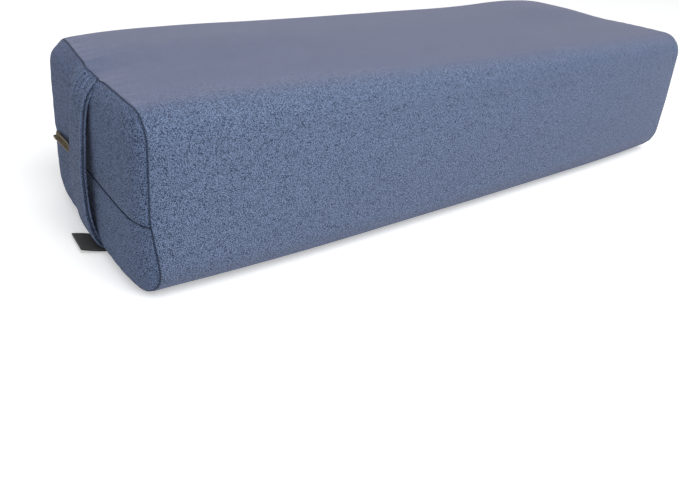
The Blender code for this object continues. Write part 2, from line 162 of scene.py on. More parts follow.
class Nodes:
    # short calls for adding nodes to one material and joining them
    def __init__(self, name):
        self.material = bpy.data.materials.new(name)
        self.material.use_nodes = True
        self.tree = self.material.node_tree
        self.shader = self.tree.nodes["Principled BSDF"]
        coords = self.add("ShaderNodeTexCoord").outputs
        self.place, self.flat, self.facing = coords["Object"], coords["UV"], coords["Normal"]

    def add(self, kind, inputs=(), **settings):
        node = self.tree.nodes.new(kind)
        for name, value in settings.items():
            setattr(node, name, value)
        for name, value in dict(inputs).items():
            self.feed(node.inputs[name], value)
        return node

    def feed(self, socket, value):
        if isinstance(value, bpy.types.NodeSocket):
            self.tree.links.new(value, socket)
        elif socket.type == "RGBA" and len(value) == 3:
            socket.default_value = (*value, 1)
        else:
            socket.default_value = value

    def noise(self, scale, detail=2.0, rough=0.5, stretch=None):
        place = self.place
        if stretch:
            place = self.add("ShaderNodeMapping", {"Vector": place, "Scale": stretch}).outputs[0]
        inputs = {"Vector": place, "Scale": scale, "Detail": detail, "Roughness": rough}
        return self.add("ShaderNodeTexNoise", inputs).outputs["Fac"]

    def cells(self, scale):
        return self.add("ShaderNodeTexVoronoi", {"Vector": self.place, "Scale": scale}).outputs["Distance"]

    def waves(self, scale, direction, bend):
        inputs = {"Vector": self.flat, "Scale": scale, "Distortion": bend}
        return self.add("ShaderNodeTexWave", inputs, bands_direction=direction).outputs["Fac"]

    def split(self, vector):
        return self.add("ShaderNodeSeparateXYZ", {0: vector}).outputs

    def span(self, value, low, high, toLow=0.0, toHigh=1.0):
        inputs = {"Value": value, "From Min": low, "From Max": high, "To Min": toLow, "To Max": toHigh}
        return self.add("ShaderNodeMapRange", inputs).outputs[0]

    def maths(self, kind, first, second):
        return self.add("ShaderNodeMath", {0: first, 1: second}, operation=kind).outputs[0]

    def plus(self, first, second):
        return self.maths("ADD", first, second)

    def times(self, first, second):
        return self.maths("MULTIPLY", first, second)

    def most(self, first, second):
        return self.maths("MAXIMUM", first, second)

    def blend(self, share, first, second):
        node = self.add("ShaderNodeMix", {0: share}, data_type="RGBA")
        colours = [s for s in node.inputs if s.type == "RGBA"]
        self.feed(colours[0], first)
        self.feed(colours[1], second)
        return [s for s in node.outputs if s.type == "RGBA"][0]

    def attribute(self, name):
        return self.add("ShaderNodeAttribute", attribute_name=name).outputs["Fac"]

    def bump(self, height, strength, distance, under=None):
        inputs = {"Strength": strength, "Distance": distance, "Height": height}
        if under:
            inputs["Normal"] = under
        return self.add("ShaderNodeBump", inputs).outputs[0]

    def finish(self, colour, roughness, normal, **others):
        inputs = {"Base Color": colour, "Roughness": roughness, "Normal": normal}
        for name, value in (*inputs.items(), *others.items()):
            self.feed(self.shader.inputs[name.replace("_", " ")], value)
        return self.material


suedeLook = {
    "base": (0.118, 0.158, 0.262),
    "light": (0.170, 0.216, 0.335),
    "dark": (0.052, 0.078, 0.146),
    # colour of the painted sheen on the rear half of an end
    "paintedRearSheen": (0.150, 0.146, 0.262),
    "seam": (0.010, 0.020, 0.052),
    "grainScale": 1550.0,
    "grainOnTop": 0.16,
    "grainAtEnd": 0.45,
    "grainFarAway": 0.64,
    "patchScale": 26.0,
    "patchSpan": (0.3, 0.7),
    "nearShade": 0.56,
    "darkSpeck": 0.68,
    "lightSpeck": 1.85,
    "crest": 1.8,
    "sheen": 0.55,
    "sheenTint": (0.95, 0.85, 1.0, 1.0),
}


def makeSuede(name, tone, grainShare=1.0, sheen=1.0, paintedRearSheen=0.0):
    # brushed microsuede: soft patches where the nap lies another way, and a fine even pebbled grain
    look = suedeLook
    n = Nodes(name)
    base, light, dark, purple = (
        [c * t for c, t in zip(look[k], tone)] for k in ("base", "light", "dark", "paintedRearSheen"))
    pebbles = n.span(n.cells(look["grainScale"]), 0.15, 0.80, 0.75, 0.0)
    grain = n.plus(pebbles, n.times(n.noise(look["grainScale"] * 1.6), 0.5))
    patch = n.noise(look["patchScale"], 3.0, 0.55)
    brushed = n.noise(look["patchScale"] * 3.1)
    up, place = n.split(n.facing)["Z"], n.split(n.place)
    along, across = place["X"], place["Y"]
    # the top is brushed smooth, but its near end keeps the grain, and its front edge less toward the far end
    least = look["grainOnTop"]
    uneven = n.span(patch, *look["patchSpan"], -0.008, 0.008)
    reach = n.span(along, -0.26, 0.05, -0.050, -0.092)
    onFront = n.span(n.plus(across, uneven), -0.100, reach, 1.0, least)
    onEnd = n.span(n.plus(along, uneven), -0.314, -0.285, look["grainAtEnd"], least)
    onSides = n.span(up, 0.55, 0.97, 1.0, least)
    grainAmount = n.most(n.most(onFront, onEnd), onSides)
    smoother = n.span(along, -0.10, 0.32, grainShare, grainShare * look["grainFarAway"])
    grainAmount = n.times(grainAmount, smoother)
    tones = n.blend(n.span(patch, *look["patchSpan"], 0.36, 0.54), dark, light)
    tones = n.blend(0.45, tones, base)
    tones = n.blend(n.span(brushed, 0.35, 0.7, 0.0, 0.16), tones, light)
    # painted shade: the front side darkens toward the near end's seam, where the sleeve curves in
    shaded = n.span(along, -0.318, -0.268, look["nearShade"], 0.0)
    frontOnly = n.span(across, -0.105, -0.085, 1.0, 0.0)
    tones = n.blend(n.times(shaded, frontOnly), tones, dark)
    if paintedRearSheen:
        # painted sheen: the rear half of an end, seen at a grazing angle, is painted more purple
        rear = n.span(n.plus(across, n.span(patch, *look["patchSpan"], -0.02, 0.02)), -0.02, 0.03)
        tones = n.blend(n.times(rear, paintedRearSheen), tones, purple)
    darkened = n.times(n.span(grain, 0.44, 0.58, 1.0, 0.0), grainAmount)
    lightened = n.times(n.span(grain, 0.58, 0.74, 0.0, 1.0), grainAmount)
    specked = n.blend(darkened, tones, [c * look["darkSpeck"] for c in dark])
    specked = n.blend(lightened, specked, [c * look["lightSpeck"] for c in light])
    # painted highlight: a shade below nothing marks a crest, which is painted lighter
    seam = n.attribute("seamShade")
    specked = n.blend(n.span(seam, -1.0, 0.0, 1.0, 0.0), specked, [c * look["crest"] for c in light])
    # painted shade: the colour darkens toward the seam colour as the seam shade rises, in seams, grooves and
    # gaps
    seamed = n.blend(seam, specked, look["seam"])
    relief = n.bump(grain, 0.40, 0.0005)
    relief = n.bump(n.noise(look["grainScale"] * 2.6, 1.0), 0.15, 0.0002, relief)
    # the sheen shows on the top most of all, and not in the seams
    glow = n.times(n.span(up, 0.5, 0.95, 0.3, 1.0), n.span(seam, 0.0, 0.8, look["sheen"] * sheen, 0.0))
    return n.finish(seamed, 0.92, relief, Sheen_Weight=glow, Sheen_Roughness=0.45,
                    Sheen_Tint=look["sheenTint"], Specular_IOR_Level=0.25)


def makeThread(name, colour):
    n = Nodes(name)
    twist = n.noise(1500.0, 1.0, stretch=(1.0, 1.0, 3.0))
    colour = n.blend(n.span(twist, 0.35, 0.65), [c * 0.55 for c in colour], [c * 1.5 for c in colour])
    return n.finish(colour, 0.7, n.bump(twist, 0.4, 0.0002), Sheen_Weight=0.2)


def makeWeave(name, colour, scale, roughness, contrast=0.35):
    # plain weave: two crossing sets of ribs, a little uneven
    n = Nodes(name)
    cloth = n.most(n.waves(scale, "X", 0.6), n.waves(scale, "Y", 0.6))
    dark = [c * (1 - contrast) for c in colour]
    mixed = n.blend(n.times(cloth, n.span(n.noise(160.0), 0.3, 0.7, 0.6, 1.1)), dark, colour)
    return n.finish(mixed, roughness, n.bump(cloth, 0.5, 0.0002), Sheen_Weight=0.15)


def makeBrass(name):
    # dull antique brass: darker blotches, fine rubbing marks, and dark recesses
    n = Nodes(name)
    blotch = n.noise(340.0, 3.0, 0.6)
    rub = n.noise(900.0, stretch=(1.0, 0.12, 1.0))
    recess = n.attribute("seamShade")
    colour = n.blend(n.span(blotch, 0.35, 0.7), (0.130, 0.110, 0.082), (0.215, 0.186, 0.142))
    colour = n.blend(recess, colour, (0.070, 0.062, 0.050))
    tint = n.blend(recess, (0.78, 0.72, 0.62), (0.46, 0.43, 0.37))
    rough = n.span(rub, 0.3, 0.7, 0.38, 0.58)
    return n.finish(colour, rough, n.bump(rub, 0.12, 0.0001), Specular_Tint=tint, Metallic=1.0)


def makeNylon(name):
    n = Nodes(name)
    shade = n.noise(420.0)
    colour = n.blend(n.span(shade, 0.3, 0.7), (0.045, 0.060, 0.098), (0.075, 0.098, 0.150))
    return n.finish(colour, 0.42, n.bump(shade, 0.1, 0.0001))


def makeWadding(name):
    n = Nodes(name)
    tuft = n.noise(120.0, 6.0, 0.75)
    clump = n.noise(38.0, 3.0, 0.6)
    colour = n.blend(n.span(tuft, 0.3, 0.7), (0.66, 0.65, 0.61), (0.90, 0.90, 0.88))
    relief = n.bump(clump, 0.6, 0.003)
    return n.finish(colour, 0.96, n.bump(tuft, 0.7, 0.001, relief), Sheen_Weight=0.4)


def makeFoam(name):
    n = Nodes(name)
    pores = n.cells(1500.0)
    wide = n.noise(60.0)
    colour = n.blend(n.span(pores, 0.1, 0.5), (0.55, 0.50, 0.32), (0.82, 0.78, 0.58))
    colour = n.blend(n.span(wide, 0.3, 0.7, 0.0, 0.25), colour, (0.88, 0.84, 0.66))
    return n.finish(colour, 0.9, n.bump(pores, 0.6, 0.0004))


suede = makeSuede("dustyBlueSuede", (0.845, 0.860, 0.862), 0.80)
# painted shade: darker, bluer copies of the suede for the end panels and the straps, which face away from the
# key light
shadedEndSuede = makeSuede("dustyBlueSuedeShadedEnd", (0.590, 0.628, 0.668), 1.6, 0.25, 0.7)
shadedStrapSuede = makeSuede("shadedStrapSuede", (0.575, 0.605, 0.625), 1.9, 0.4)
threadDark = makeThread("seamThread", (0.009, 0.017, 0.042))
threadCotton = makeThread("linerThread", (0.62, 0.59, 0.52))
tapeWeave = makeWeave("zipTapeWeave", (0.052, 0.070, 0.112), 320.0, 0.85)
cottonWeave = makeWeave("linerCotton", (0.74, 0.71, 0.64), 190.0, 0.9, 0.22)
tagWeave = makeWeave("tagSatin", (0.030, 0.030, 0.031), 420.0, 0.62, 0.55)
brass = makeBrass("antiqueBrass")
nylon = makeNylon("coilNylon")
wadding = makeWadding("softBatting")
foam = makeFoam("firmFoam")
print("finishes made")


# Grids into meshes, meshes into pieces

def unit(vectors):
    return vectors / np.maximum(np.linalg.norm(vectors, axis=-1, keepdims=True), 1e-12)


def gridCorners(rows, columns, closed):
    # rows and columns of the four corners of each quad
    wide = columns if closed else columns - 1
    r, c = np.meshgrid(np.arange(rows - 1), np.arange(wide), indexing="ij")
    return [(r + a, c + b) for a, b in ((0, 0), (0, 1), (1, 1), (1, 0))]


def gridFaces(rows, columns, closed=False):
    corners = gridCorners(rows, columns, closed)
    return np.stack([r * columns + c % columns for r, c in corners], axis=-1).reshape(-1, 4)


def makeMesh(name, points, faces):
    mesh = bpy.data.meshes.new(name)
    mesh.from_pydata(points.reshape(-1, 3).tolist(), [], [f for part in faces for f in part.tolist()])
    mesh.polygons.foreach_set("use_smooth", np.ones(len(mesh.polygons), bool))
    mesh.update()
    return mesh


def runAlong(line):
    # each point's distance from the start of the line
    return np.concatenate([[0.0], np.cumsum(np.linalg.norm(np.diff(line, axis=0), axis=1))])


def runLengths(grid, axis, closed=False):
    # the same for the middle line of a grid, round to its start again when closed
    line = grid[grid.shape[0] // 2] if axis == 1 else grid[:, grid.shape[1] // 2]
    return runAlong(np.concatenate([line, line[:1]]) if closed else line)


def gridMesh(name, grid, closed=False, shade=None):
    rows, columns = grid.shape[:2]
    mesh = makeMesh(name, grid, [gridFaces(rows, columns, closed)])
    across, down = runLengths(grid, 1, closed), runLengths(grid, 0)
    corners = gridCorners(rows, columns, closed)
    flat = np.stack([np.stack([across[c], down[r]], axis=-1) for r, c in corners], axis=-2)
    layer = mesh.uv_layers.new(name="flat")
    layer.data.foreach_set("uv", flat.reshape(-1).astype(np.float32))
    if shade is not None:
        mark = mesh.attributes.new("seamShade", "FLOAT", "POINT")
        mark.data.foreach_set("value", shade.reshape(-1).astype(np.float32))
    return mesh


def tubesMesh(name, centres, side, out, sideRadius, outRadius, sides=8, joined=False):
    # rings round each centre line: centre + side * cos * radius + out * sin * radius, capped unless joined
    count, length = centres.shape[:2]
    angle = np.linspace(0, 2 * math.pi, sides, endpoint=False)
    ring = (side[:, :, None] * (np.cos(angle)[:, None] * sideRadius[..., None, None])
            + out[:, :, None] * (np.sin(angle)[:, None] * outRadius[..., None, None]))
    points = centres[:, :, None] + ring
    first = (np.arange(count) * length * sides)[:, None, None]
    faces = [(gridFaces(length, sides, True)[None] + first).reshape(-1, 4)]
    k, last = np.arange(sides), (length - 1) * sides
    if joined:
        loop = np.stack([last + k, last + (k + 1) % sides, (k + 1) % sides, k], axis=-1)
        faces.append((loop[None] + first).reshape(-1, 4))
    else:
        faces += [first[:, 0] + k, first[:, 0] + last + k[::-1]]
    mesh = makeMesh(name, points, faces)
    fixNormals(mesh)
    return mesh


def fixNormals(mesh, caps=()):
    # all faces turned outward, after a flat cap is set on each listed ring of points
    shape = bmesh.new()
    shape.from_mesh(mesh)
    shape.verts.ensure_lookup_table()
    for cap in caps:
        shape.faces.new([shape.verts[i] for i in cap])
    bmesh.ops.recalc_face_normals(shape, faces=shape.faces)
    shape.to_mesh(mesh)
    shape.free()


def closeEnds(mesh, rows, columns):
    # a flat cap on the first and the last row of a closed grid
    fixNormals(mesh, (range(columns), range((rows - 1) * columns, rows * columns)))


def addPiece(mesh, finish, body, nodes=(), wall=0.0):
    piece = bpy.data.objects.new(mesh.name, mesh)
    scene.collection.objects.link(piece)
    mesh.materials.append(finish)
    if wall:
        solid = piece.modifiers.new("clothWall", "SOLIDIFY")
        solid.thickness = wall
        solid.offset = -1.0
    if body:
        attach(piece, body)
    if nodes:
        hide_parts(*nodes)
    return piece


def gridNormals(grid, closed=False):
    # cross product of the steps along the two directions of the grid, as unit vectors
    if closed:
        across = np.roll(grid, -1, axis=1) - np.roll(grid, 1, axis=1)
    else:
        across = np.gradient(grid, axis=1)
    return unit(np.cross(across, np.gradient(grid, axis=0)))


def bell(t):
    # (1 - t^2)^2 inside -1 to 1, and nothing outside
    return np.clip(1 - t ** 2, 0, 1) ** 2


def hump(distance, half):
    # e^-(distance / half)^2
    return np.exp(-(distance / half) ** 2)


def ease(t):
    # 3 t^2 - 2 t^3 from 0 to 1, and level outside
    t = np.clip(t, 0, 1)
    return t * t * (3 - 2 * t)


def evenSteps(low, high, step):
    # as many even places as the step allows, both ends among them
    return np.linspace(low, high, max(2, int(abs(high - low) / step) + 1))


def sharesAcross(half, edgeSteps, step):
    # places from -1 to 1, even in the middle and closer toward both edges by the steps given in mm
    near = np.array(edgeSteps) / 1000
    c = 1 - np.concatenate([near, evenSteps(near[-1], half, step)[1:]]) / half
    return np.concatenate([-c, c[::-1][1:]])


def arcPoints(y, z, radius, start, end, count, whole=False):
    # part of a circle round y, z from one angle to another: y + r cos a, z + r sin a
    a = np.radians(np.linspace(start, end, count, endpoint=whole))[None]
    return np.stack([y + radius * np.cos(a), z + radius * np.sin(a)], axis=-1)


# Form of the stuffed cover

cushion = {
    "seamHalf": 0.320, "endHalf": 0.105, "sideBulge": 0.0042, "sideDraw": 0.0040, "sideCrown": 0.0015,
    "endHeight": 0.1445, "topDraw": 0.0035, "crown": 0.0022, "topRadius": 0.022, "baseRadius": 0.032,
    "rearTop": 0.1490, "rearRises": ((-0.72, 0.30, 0.0022), (0.74, 0.26, 0.0044)),
    "rearEndDrops": (0.0024, 0.0084), "endDropPower": 14, "rearFrom": -0.030, "rearTo": 0.045,
    "drawPower": 8, "pullPower": 12, "kink": 0.070, "kinkHeight": 0.060,
    "basePull": {"nearFront": 0.0092, "nearRear": 0.0012, "farFront": 0.0045, "farRear": 0.0030},
    "edgePull": 0.0013, "farFrontRise": 0.0017, "farFrontFrom": 0.010, "farFrontReach": 0.085,
    "rearTopPull": 0.0040, "rearTopY": (0.020, 0.065), "rearTopZ": (0.130, 0.013),
    "rollDepth": 0.0006, "rollWidth": 0.0018, "rollPower": 2.5, "cloth": 0.0010, "seamLine": 0.00042,
    "ringCounts": {"baseArc": 18, "side": 30, "topArc": 12, "top": 56, "base": 48},
    "endSteps": (0, 0.4, 0.9, 1.5, 2.2, 3.0, 4.0, 5.2, 6.6, 8.2, 10.0, 12.2, 14.8, 17.8, 21.2, 25.0),
    "middleStep": 0.0045,
    "swellPressure": 4.0, "swellCap": 0.0009, "drawCap": 0.0001, "swellFrames": 20, "swellQuality": 4,
    "swellSlack": 0.006, "startInset": 0.0003, "startReach": 0.02,
    "puckerDepth": 0.00022, "puckerReach": 0.012, "puckerStart": 0.0015,
    "waveDepth": 0.00035, "waveReach": 0.03, "waves": ((21, 9, 0.6), (34, -14, 2.1), (13, 23, 4.0)),
}
tug = {
    "middle": -0.0045, "half": 0.026, "out": 0.0030, "down": 0.0022, "farShare": 0.1,
    "sleeveReach": 0.030, "panelReach": 0.009,
}


def halfWidthAt(u):
    # half the width at a station u from -1 to 1: a parabola, with the sewn ends drawn in by a high power
    bulge = cushion["sideBulge"] * (1 - u ** 2)
    return cushion["endHalf"] + bulge + cushion["sideDraw"] * (1 - abs(u) ** cushion["drawPower"])


def topAt(u):
    # height of the top's front half: level, and drawn down by a high power at the sewn ends
    return cushion["endHeight"] + cushion["topDraw"] * (1 - abs(u) ** cushion["drawPower"])


def pullIn(y, z, u):
    # the corners draw in by a fourth power across and a high power along: each base corner below the
    # kink in proportion to the height left, and the near end's rear top corner
    pull = cushion["basePull"]
    (rearY, reachY), (rearZ, reachZ) = cushion["rearTopY"], cushion["rearTopZ"]
    front, rear = (np.clip(sign * y / halfWidthAt(u), 0, 1.1) ** 4 for sign in (-1, 1))
    low = np.clip((cushion["kink"] - z) / cushion["kinkHeight"], 0, 1)
    atNear = front * (cushion["edgePull"] + pull["nearFront"] * low) + rear * pull["nearRear"] * low
    atNear = atNear + cushion["rearTopPull"] * ease((y - rearY) / reachY) * ease((z - rearZ) / reachZ)
    atFar = (front * pull["farFront"] + rear * pull["farRear"]) * low
    return np.where(u < 0, atNear, atFar) * np.abs(u) ** cushion["pullPower"]


def rearTopAt(u):
    # height of the top's rear edge: a level with two broad rises, dropping at each end
    height = cushion["rearTop"] + 0 * u
    for middle, half, rise in cushion["rearRises"]:
        height = height + rise * hump(u - middle, half)
    nearDrop, farDrop = cushion["rearEndDrops"]
    return height - np.where(u < 0, nearDrop, farDrop) * np.abs(u) ** cushion["endDropPower"]


def liftAt(y, z, u):
    # the top rises from its front half to its rear edge, and at the far end's front corner
    across = ease((y - cushion["rearFrom"]) / (cushion["rearTo"] - cushion["rearFrom"]))
    atFarEnd = np.clip(u, 0, 1) ** cushion["endDropPower"]
    forward = ease((cushion["farFrontFrom"] - y) / cushion["farFrontReach"])
    front = cushion["farFrontRise"] * forward * atFarEnd
    return ((rearTopAt(u) - topAt(u)) * across + front) * np.clip(z / topAt(u), 0, 1.1) ** 4


def placed(y, z, u, out=0.0):
    # points of the form from their place in a section: drawn in along the length and lifted at the rear
    side = np.where(u < 0, -1.0, 1.0)
    tugged = tugAt(y, z, u)
    x = u * cushion["seamHalf"] + side * (out - pullIn(y, z, u) + tug["out"] * tugged)
    return np.stack([x + 0 * y, y, z + liftAt(y, z, u) - tug["down"] * tugged], axis=-1)


def ringAt(u, inset):
    # rounded box outlines, one for each station u, from the closing seam round over the top and back
    counts = cushion["ringCounts"]
    u, inset = u[:, None], inset[:, None]
    half, top = halfWidthAt(u) - inset, topAt(u) - inset
    topRadius, baseRadius = cushion["topRadius"] - inset, cushion["baseRadius"] - inset
    low, high = inset + baseRadius, top - topRadius
    flat, under = half - topRadius, half - baseRadius
    swell = cushion["sideCrown"] * (1 - u ** 2)

    def side(sign, start, end):
        t = np.linspace(0, 1, counts["side"], endpoint=False)[None]
        y = sign * (half + swell * (4 * t * (1 - t)) ** 1.5)
        return np.stack([y, start + (end - start) * t], axis=-1)

    t = np.linspace(1, -1, counts["top"], endpoint=False)[None]
    crown = cushion["crown"] * (1 - u ** 6)
    over = np.stack([flat * t, top + crown * (1 - t ** 2) ** 1.5], axis=-1)
    t = np.linspace(-1, 1, counts["base"], endpoint=False)[None]
    base = np.stack([under * t, inset + 0 * t], axis=-1)
    topCount, baseCount = counts["topArc"], counts["baseArc"]
    ring = [arcPoints(under, low, baseRadius, -45, 0, baseCount // 2), side(1, low, high),
            arcPoints(flat, high, topRadius, 0, 90, topCount), over,
            arcPoints(-flat, high, topRadius, 90, 180, topCount), side(-1, high, low),
            arcPoints(-under, low, baseRadius, 180, 270, baseCount), base,
            arcPoints(under, low, baseRadius, 270, 315, baseCount // 2)]
    return np.concatenate(ring, axis=1)


def tugAt(y, z, u):
    # the strap draws its top seam out and down: a bell across the strap, fading along and down from it
    along = bell(cushion["seamHalf"] * (1 - np.abs(u)) / tug["sleeveReach"])
    down = bell(np.clip(cushion["endHeight"] - z, 0, None) / tug["panelReach"])
    return bell((y - tug["middle"]) / tug["half"]) * along * down * np.where(u < 0, 1.0, tug["farShare"])


def wavesOver(x, around):
    # slow swells of the cloth: the mean of three sines of different lengths along and around
    return sum(np.sin(a * x + b * around + c) for a, b, c in cushion["waves"]) / 3


def puckers(s, away):
    # short ripples square to a seam, dying off away from it
    ripple = np.sin(420 * s + 1.3 * np.sin(90 * s)) + 0.7 * np.sin(655 * s + 2.0) * np.sin(47 * s)
    fading = np.exp(-away / cushion["puckerReach"]) * (1 - np.exp(-away / cushion["puckerStart"]))
    return cushion["puckerDepth"] * ripple * fading


def swellCloth(points, faces, held, outward):
    # Blender's cloth under inner pressure from this mesh, held at its seams: how far each point swells
    # out or draws in, both capped, because the foam inside keeps the corners full
    mesh = makeMesh("swelling", points, [faces])
    trial = bpy.data.objects.new("swelling", mesh)
    scene.collection.objects.link(trial)
    pins = trial.vertex_groups.new(name="held")
    pins.add([int(i) for i in np.flatnonzero(held)], 1.0, "REPLACE")
    cloth = trial.modifiers.new("cloth", "CLOTH")
    cloth.settings.quality = cushion["swellQuality"]
    cloth.settings.vertex_group_mass = "held"
    cloth.settings.use_pressure = True
    cloth.settings.uniform_pressure_force = cushion["swellPressure"]
    cloth.settings.effector_weights.gravity = 0
    cloth.settings.shrink_min = -cushion["swellSlack"]
    for f in range(1, cushion["swellFrames"] + 1):
        scene.frame_set(f)
    done = trial.evaluated_get(bpy.context.evaluated_depsgraph_get())
    after = np.empty(len(mesh.vertices) * 3, np.float32)
    done.data.vertices.foreach_get("co", after)
    scene.frame_set(1)
    bpy.data.objects.remove(trial)
    bpy.data.meshes.remove(mesh)
    move = after.reshape(points.shape).astype(float) - points
    out = (move * outward).sum(axis=-1)
    cap = np.where(out > 0, cushion["swellCap"], cushion["drawCap"])
    return cap * np.tanh(out / (4 * cap))


def spread(values, rows, columns):
    # swelling known at every second row and column round the form, carried to all by halfway means
    full = np.zeros((rows, columns))
    full[::2, ::2] = values
    full[::2, 1::2] = (values + np.roll(values, -1, axis=1)) / 2
    full[1::2] = (full[:-1:2] + full[2::2]) / 2
    return full


def soften(grid, rounds):
    # each value drawn toward those round and along from it, the first and last rows held
    for _ in range(rounds):
        grid = (np.roll(grid, 1, axis=1) + 2 * grid + np.roll(grid, -1, axis=1)) / 4
        inner = (grid[:-2] + 2 * grid[1:-1] + grid[2:]) / 4
        grid = np.concatenate([grid[:1], inner, grid[-1:]])
    return grid


def sleeveGrid():
    # a rounded box outline at every station, rolled in by a power over the last of the length
    u = sharesAcross(cushion["seamHalf"], cushion["endSteps"], cushion["middleStep"])
    away = cushion["seamHalf"] * (1 - np.abs(u))
    roll = cushion["rollDepth"] * np.clip(1 - away / cushion["rollWidth"], 0, 1) ** cushion["rollPower"]
    ring = ringAt(u, roll)
    return placed(ring[..., 0], ring[..., 1], u[:, None]), away


def makeSleeve():
    # the form with the cloth's swelling, its slow waves and the seams' puckers added along the normals
    grid, away = sleeveGrid()
    rows, columns = grid.shape[:2]
    around = runLengths(grid, 1, True)[:-1]
    awayGrid = np.repeat(away[:, None], columns, axis=1)
    normal = gridNormals(grid, True)
    swell = 0 * awayGrid
    inset = cushion["startInset"] * ease(awayGrid / cushion["startReach"])
    coarse = (grid - normal * inset[..., None])[::2, ::2]
    held = np.zeros(coarse.shape[:2], bool)
    held[[0, -1]] = True
    out = swellCloth(coarse, gridFaces(*coarse.shape[:2], True), held.ravel(), normal[::2, ::2])
    swell = soften(spread(out, rows, columns), 3) - inset
    grid = grid + normal * swell[..., None]
    wave = wavesOver(grid[..., 0], around[None]) * ease(awayGrid / cushion["waveReach"])
    lift = cushion["waveDepth"] * wave + puckers(around[None], awayGrid)
    grid = grid + normal * lift[..., None]
    grid[..., 2] = np.maximum(grid[..., 2], 0.0)
    # painted shade: a thin dark line along each end seam's groove
    shade = hump(awayGrid, cushion["seamLine"])
    mesh = gridMesh("sleeveCloth", grid, True, shade)
    addPiece(mesh, suede, "bolster", ["cover_sleeve"], cushion["cloth"])
    return grid


# End panels: two lips over the zip at the near end, one piece at the far end

panel = {
    "inset": 0.0006, "bulge": 0.0084, "acrossPower": 14, "upPower": 8, "edgePower": 0.9, "cloth": 0.0005,
    "zipHeight": 0.0655, "slotHalf": 0.0006, "valley": 0.0007, "valleyHalf": 0.0045, "zipShade": 0.0008,
    "zipOpenHalf": 0.084, "closeFrom": 0.0007, "closeReach": 0.006, "closeShare": 0.8, "valleyRise": 10.4,
    "waveDepth": 0.0004, "waveReach": 0.02, "clearFrom": 0.005, "clearReach": 0.015, "zipDark": 0.6,
    "turnRadius": 0.09, "turnHeight": 0.07,
    "edgeSteps": (0, 0.3, 0.7, 1.2, 1.9, 2.8, 4.0, 5.5, 7.4, 9.8, 12.6, 16.0),
    "lip": ((2.4, -1.30), (1.3, -1.38), (0.85, -1.15), (0.70, -0.75), (0.78, -0.35), (1.15, -0.08),
            (1.9, 0.0)),
    "lipSteps": (2.6, 3.5, 4.6, 5.9, 7.5, 9.5, 11.9),
    "step": 0.0032, "columnStep": 0.00352, "arcRows": 19,
}


def endOutline():
    # the inset from the sleeve, then half the end's width, its base and top radii, and its top
    inset = panel["inset"]
    half, roof = cushion["endHalf"] - inset, cushion["endHeight"] - inset
    return inset, half, cushion["baseRadius"] - inset, cushion["topRadius"] - inset, roof


def edgeDistance(y, z):
    # how far a point of the end lies inside its rounded outline
    inset, half, base, top, roof = endOutline()
    ay = np.abs(y)
    plain = np.minimum(half - ay, np.minimum(z - inset, roof - z))
    inBase = (ay > half - base) & (z < inset + base)
    inTop = (ay > half - top) & (z > roof - top)
    baseCut = base - np.hypot(ay - (half - base), inset + base - z)
    topCut = top - np.hypot(ay - (half - top), z - (roof - top))
    return np.clip(np.where(inBase, baseCut, np.where(inTop, topCut, plain)), 0, None)


def rowHalfWidth(z):
    # half the end's width at a height, from the two rounded edges
    inset, half, base, top, roof = endOutline()
    below = np.clip(inset + base - z, 0, base)
    above = np.clip(z - (roof - top), 0, top)
    return half - (base - np.sqrt(base ** 2 - below ** 2)) - (top - np.sqrt(top ** 2 - above ** 2))


def arcRows(start, radius, sign):
    # heights round a rounded edge, closer together near the seam: radius * (1 - cos)
    a = np.radians(np.linspace(0, 90, panel["arcRows"]))
    return start + sign * radius * (1 - np.cos(a))


def panelRows(part):
    # heights of the rows: close in the rounded edges and beside the zip's lips, even between them
    inset, _, baseRadius, topRadius, roof = endOutline()
    base, top = arcRows(inset, baseRadius, 1), arcRows(roof, topRadius, -1)[::-1]
    if part == "whole":
        return np.concatenate([base, evenSteps(base[-1], top[0], panel["step"])[1:-1], top])
    sign = 1 if part == "upper" else -1
    grow = panel["zipHeight"] + sign * np.array(panel["lipSteps"]) / 1000
    if part == "upper":
        return np.concatenate([grow, evenSteps(grow[-1], top[0], panel["step"])[1:-1], top])
    return np.concatenate([base, evenSteps(base[-1], grow[-1], panel["step"])[1:-1], grow[::-1]])


def panelColumns():
    return sharesAcross(cushion["endHalf"] - panel["inset"], panel["edgeSteps"], panel["columnStep"])


def panelLevel(share, y, z):
    # how far the end stands out from its seam: flat-topped powers across and up
    middle = cushion["endHeight"] / 2
    up = np.clip(np.abs(z - middle) / (middle - panel["inset"]), 0, 1)
    across = (1 - np.abs(share) ** panel["acrossPower"]) ** panel["edgePower"]
    return panel["bulge"] * across * (1 - up ** panel["upPower"]) ** panel["edgePower"]


def slotAt(y):
    # the lips' gap, which narrows to a fifth past the ends of the zip
    past = ease((np.abs(y) - panel["zipOpenHalf"]) / panel["closeReach"])
    return panel["slotHalf"] * (1 - panel["closeShare"] * past)


def panelGrid(side, part):
    # rows as wide as the end at their heights, standing out by the end's level and turned in at the lips
    columns = panelColumns()[None]
    z = panelRows(part)[:, None] + 0 * columns
    level = 0 * z
    if part != "whole":
        sign = 1 if part == "upper" else -1
        lip = np.array(panel["lip"]) / 1000
        lipZ = panel["zipHeight"] + sign * lip[:, :1] + 0 * columns
        lipLevel = lip[:, 1:] + 0 * columns
        if sign > 0:
            z, level = np.concatenate([lipZ, z]), np.concatenate([lipLevel, level])
        else:
            z, level = np.concatenate([z, lipZ[::-1]]), np.concatenate([level, lipLevel[::-1]])
    y = rowHalfWidth(z) * columns
    if part != "whole":
        # the lips close up past the ends of the zip
        fromZip = z - panel["zipHeight"]
        shift = np.clip(1 - (np.abs(fromZip) - panel["closeFrom"]) / panel["closeReach"], 0, 1)
        z = z - np.sign(fromZip) * (panel["slotHalf"] - slotAt(y)) * shift
        dip = panel["valley"] * hump(z - panel["zipHeight"], panel["valleyHalf"])
        level = (level - dip) * ease((1 - np.abs(columns)) * panel["valleyRise"])
    away = edgeDistance(y, z)
    grid = placed(y, z, np.full_like(z, side), level + panelLevel(columns, y, z))
    return grid, away


